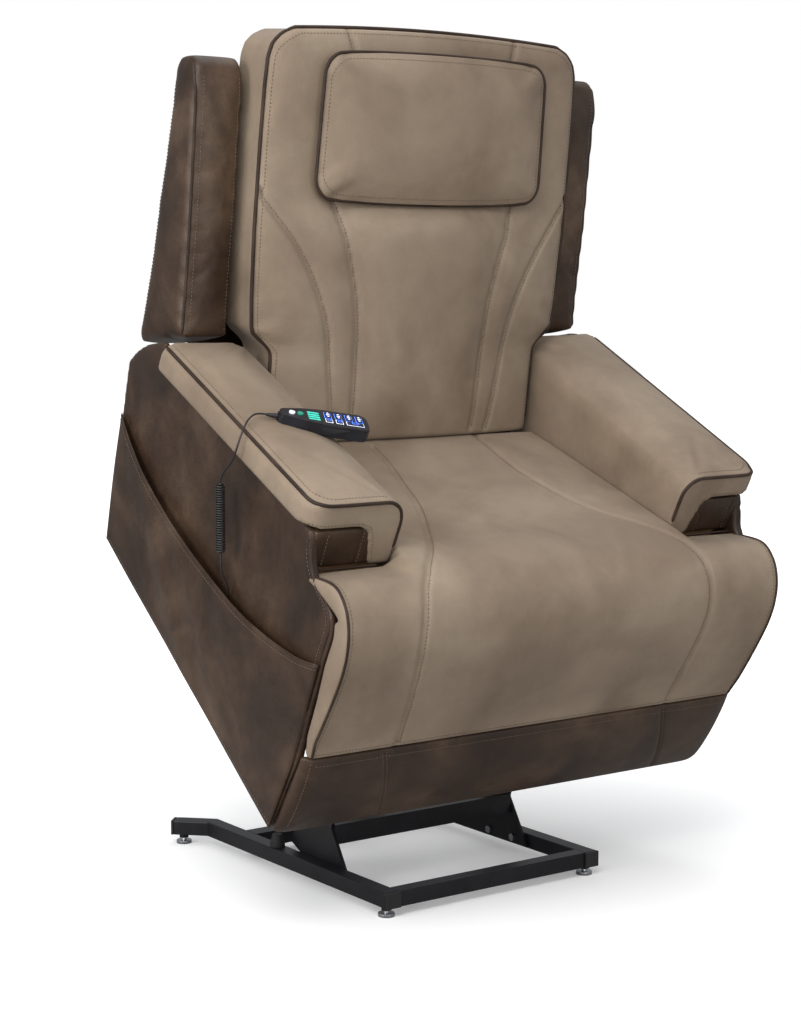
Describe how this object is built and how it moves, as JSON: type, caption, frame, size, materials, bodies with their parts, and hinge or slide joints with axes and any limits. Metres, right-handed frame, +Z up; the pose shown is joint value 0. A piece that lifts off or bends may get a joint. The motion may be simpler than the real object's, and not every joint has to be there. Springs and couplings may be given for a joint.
{
  "type": "lift recliner chair",
  "caption": "Power lift recliner chair on a steel floor base, raised and tilted forward, with reclining back, tilting headrest, rising leg rest and corded hand control.",
  "frame": {"origin": "on the floor, at the centre of the chair outline from above, in its raised position", "axes": "+X to the sitter's left, +Y to the rear of the chair, +Z up"},
  "size_m": [0.9965, 0.8857, 1.5231],
  "materials": {
    "taupe_leather": "soft nubuck",
    "dark_leather": "waxed",
    "black_steel": "satin black powder coat",
    "zinc_steel": "zinc plated",
    "spring_steel": "drawn wire",
    "black_plastic": "fine texture",
    "foot_rubber": "matt",
    "plywood": "sanded",
    "handset_plastic": "soft touch",
    "key_white": "lit",
    "key_green": "lit",
    "key_blue": "lit edges",
    "indicator_teal": "lit",
    "cord_rubber": "satin"
  },
  "bodies": {
    "base": {"base_rails": "black_steel", "base_cross_tubes": "black_steel", "rail_end_caps": "black_plastic", "base_towers": "black_steel", "levelling_feet": "zinc_steel", "foot_collars": "black_steel", "rest_bumpers": "foot_rubber", "base_bolts": "zinc_steel", "power_box": "black_plastic", "base_pivot_pins": "zinc_steel"},
    "lift_arms": {"lift_arms": "black_steel"},
    "stay_links": {"stay_links": "black_steel"},
    "lift_motor": {"lift_motor": "black_plastic"},
    "lift_ram": {"lift_ram": "zinc_steel"},
    "carriage": {"lift_frame": "black_steel", "seat_frame": "plywood", "seat_springs": "spring_steel", "carriage_pivot_pins": "zinc_steel", "side_panel_left": "dark_leather", "side_panel_right": "dark_leather", "arm_box_left": "plywood", "arm_box_right": "plywood", "arm_pad_left": "taupe_leather", "arm_pad_right": "taupe_leather", "arm_fronts": "dark_leather", "side_pocket": "dark_leather", "seat_cushion": "taupe_leather", "corner_brackets": "zinc_steel", "handset_shell": "handset_plastic", "indicator_bars": "indicator_teal", "cord_grip": "cord_rubber", "cord_upper": "cord_rubber", "cord_curls": "cord_rubber", "cord_tail": "cord_rubber"},
    "backrest": {"back_frame": "plywood", "back_cushion": "taupe_leather", "wing_left": "dark_leather", "wing_right": "dark_leather", "back_panel": "dark_leather"},
    "headrest": {"headrest_board": "plywood", "headrest_pillow": "taupe_leather"},
    "recline_motor": {"recline_motor": "black_plastic"},
    "recline_ram": {"recline_ram": "zinc_steel"},
    "legrest": {"legrest_board": "plywood", "legrest_pad": "taupe_leather", "toe_panel": "dark_leather"},
    "legrest_drive_arms": {"legrest_drive_arms": "black_steel"},
    "legrest_push_links": {"legrest_push_links": "black_steel"},
    "legrest_motor": {"legrest_motor": "black_plastic"},
    "legrest_ram": {"legrest_ram": "zinc_steel"},
    "light_key": {"light_key": "key_white"},
    "power_key": {"power_key": "key_green"},
    "memory_key_one": {"memory_key_one": "key_white"},
    "memory_key_two": {"memory_key_two": "key_white"},
    "home_key": {"home_key": "key_white"},
    "back_rocker": {"back_rocker": "key_blue"},
    "headrest_rocker": {"headrest_rocker": "key_blue"},
    "legrest_rocker": {"legrest_rocker": "key_blue"},
    "lift_rocker": {"lift_rocker": "key_blue"}
  },
  "joints": [
    {"name": "lift", "type": "hinge", "parent": "base", "child": "lift_arms", "pos_m": [0, -0.011, 0.29], "axis": [-1, 0, 0], "range_deg": [0, 60.79]},
    {"name": "carriage_tilt", "type": "hinge", "parent": "lift_arms", "child": "carriage", "pos_m": [0, 0.37878, 0.53034], "axis": [1, 0, 0], "range_deg": [0, 33.79]},
    {"name": "stay_swing", "type": "hinge", "parent": "base", "child": "stay_links", "pos_m": [0, -0.066, 0.288], "axis": [-1, 0, 0], "range_deg": [0, 67.22]},
    {"name": "lift_motor_swing", "type": "hinge", "parent": "base", "child": "lift_motor", "pos_m": [0, 0.259, 0.105], "axis": [-1, 0, 0], "range_deg": [0, 1.35]},
    {"name": "lift_ram_slide", "type": "slide", "parent": "lift_motor", "child": "lift_ram", "axis": [0, -0.717, 0.6971], "range_m": [-0.06549, 0]},
    {"name": "recline", "type": "hinge", "parent": "carriage", "child": "backrest", "pos_m": [0, 0.12527, 0.76357], "axis": [-1, 0, 0], "range_deg": [0, 50]},
    {"name": "recline_motor_swing", "type": "hinge", "parent": "carriage", "child": "recline_motor", "pos_m": [0, -0.04862, 0.5762], "axis": [-1, 0, 0], "range_deg": [0, 1.5]},
    {"name": "recline_ram_slide", "type": "slide", "parent": "recline_motor", "child": "recline_ram", "axis": [0, 0.8777, 0.4793], "range_m": [-0.0755, 0]},
    {"name": "headrest_tilt", "type": "hinge", "parent": "backrest", "child": "headrest", "pos_m": [0, -0.01372, 1.23546], "axis": [1, 0, 0], "range_deg": [0, 30]},
    {"name": "legrest_raise", "type": "hinge", "parent": "carriage", "child": "legrest", "pos_m": [0, -0.44713, 0.5213], "axis": [-1, 0, 0], "range_deg": [0, 80]},
    {"name": "legrest_drive", "type": "hinge", "parent": "carriage", "child": "legrest_drive_arms", "pos_m": [0, -0.23693, 0.46118], "axis": [-1, 0, 0], "range_deg": [0, 80]},
    {"name": "legrest_push", "type": "hinge", "parent": "legrest_drive_arms", "child": "legrest_push_links", "pos_m": [0, -0.10723, 0.3432], "axis": [-1, 0, 0], "range_deg": [-80, 0]},
    {"name": "legrest_motor_swing", "type": "hinge", "parent": "carriage", "child": "legrest_motor", "pos_m": [0, 0.04922, 0.6485], "axis": [-1, 0, 0], "range_deg": [0, 1.22]},
    {"name": "legrest_ram_slide", "type": "slide", "parent": "legrest_motor", "child": "legrest_ram", "axis": [0, -0.8879, -0.46], "range_m": [-0.05766, 0]},
    {"name": "light_key_press", "type": "slide", "parent": "carriage", "child": "light_key", "axis": [0, 0.454, -0.891], "range_m": [0, 0.0008], "stiffness_N_per_m": 250},
    {"name": "power_key_press", "type": "slide", "parent": "carriage", "child": "power_key", "axis": [0, 0.454, -0.891], "range_m": [0, 0.0008], "stiffness_N_per_m": 250},
    {"name": "memory_key_one_press", "type": "slide", "parent": "carriage", "child": "memory_key_one", "axis": [0, 0.454, -0.891], "range_m": [0, 0.0008], "stiffness_N_per_m": 250},
    {"name": "memory_key_two_press", "type": "slide", "parent": "carriage", "child": "memory_key_two", "axis": [0, 0.454, -0.891], "range_m": [0, 0.0008], "stiffness_N_per_m": 250},
    {"name": "home_key_press", "type": "slide", "parent": "carriage", "child": "home_key", "axis": [0, 0.454, -0.891], "range_m": [0, 0.0008], "stiffness_N_per_m": 250},
    {"name": "back_rocker_rock", "type": "hinge", "parent": "carriage", "child": "back_rocker", "pos_m": [-0.33781, -0.19668, 0.86546], "axis": [0.9336, -0.3193, -0.1627], "range_deg": [-3.5, 3.5], "stiffness_Nm_per_rad": 0.02},
    {"name": "headrest_rocker_rock", "type": "hinge", "parent": "carriage", "child": "headrest_rocker", "pos_m": [-0.32101, -0.20243, 0.86253], "axis": [0.9336, -0.3193, -0.1627], "range_deg": [-3.5, 3.5], "stiffness_Nm_per_rad": 0.02},
    {"name": "legrest_rocker_rock", "type": "hinge", "parent": "carriage", "child": "legrest_rocker", "pos_m": [-0.3042, -0.20818, 0.8596], "axis": [0.9336, -0.3193, -0.1627], "range_deg": [-3.5, 3.5], "stiffness_Nm_per_rad": 0.02},
    {"name": "lift_rocker_rock", "type": "hinge", "parent": "carriage", "child": "lift_rocker", "pos_m": [-0.2874, -0.21393, 0.85668], "axis": [0.9336, -0.3193, -0.1627], "range_deg": [-3.5, 3.5], "stiffness_Nm_per_rad": 0.02}
  ],
  "couplings": [
    {"joint": "carriage_tilt", "follows": "lift", "ratio": 0.55583},
    {"joint": "stay_swing", "follows": "lift", "ratio": 1.1058},
    {"joint": "lift_motor_swing", "follows": "lift", "ratio": 0.022018},
    {"joint": "lift_ram_slide", "follows": "lift", "m_per_rad": -0.061715},
    {"joint": "recline_motor_swing", "follows": "recline", "ratio": 0.02979},
    {"joint": "recline_ram_slide", "follows": "recline", "m_per_rad": -0.086509},
    {"joint": "legrest_drive", "follows": "legrest_raise", "ratio": 1},
    {"joint": "legrest_push", "follows": "legrest_raise", "ratio": -1},
    {"joint": "legrest_motor_swing", "follows": "legrest_raise", "ratio": 0.015124},
    {"joint": "legrest_ram_slide", "follows": "legrest_raise", "m_per_rad": -0.041289}
  ]
}
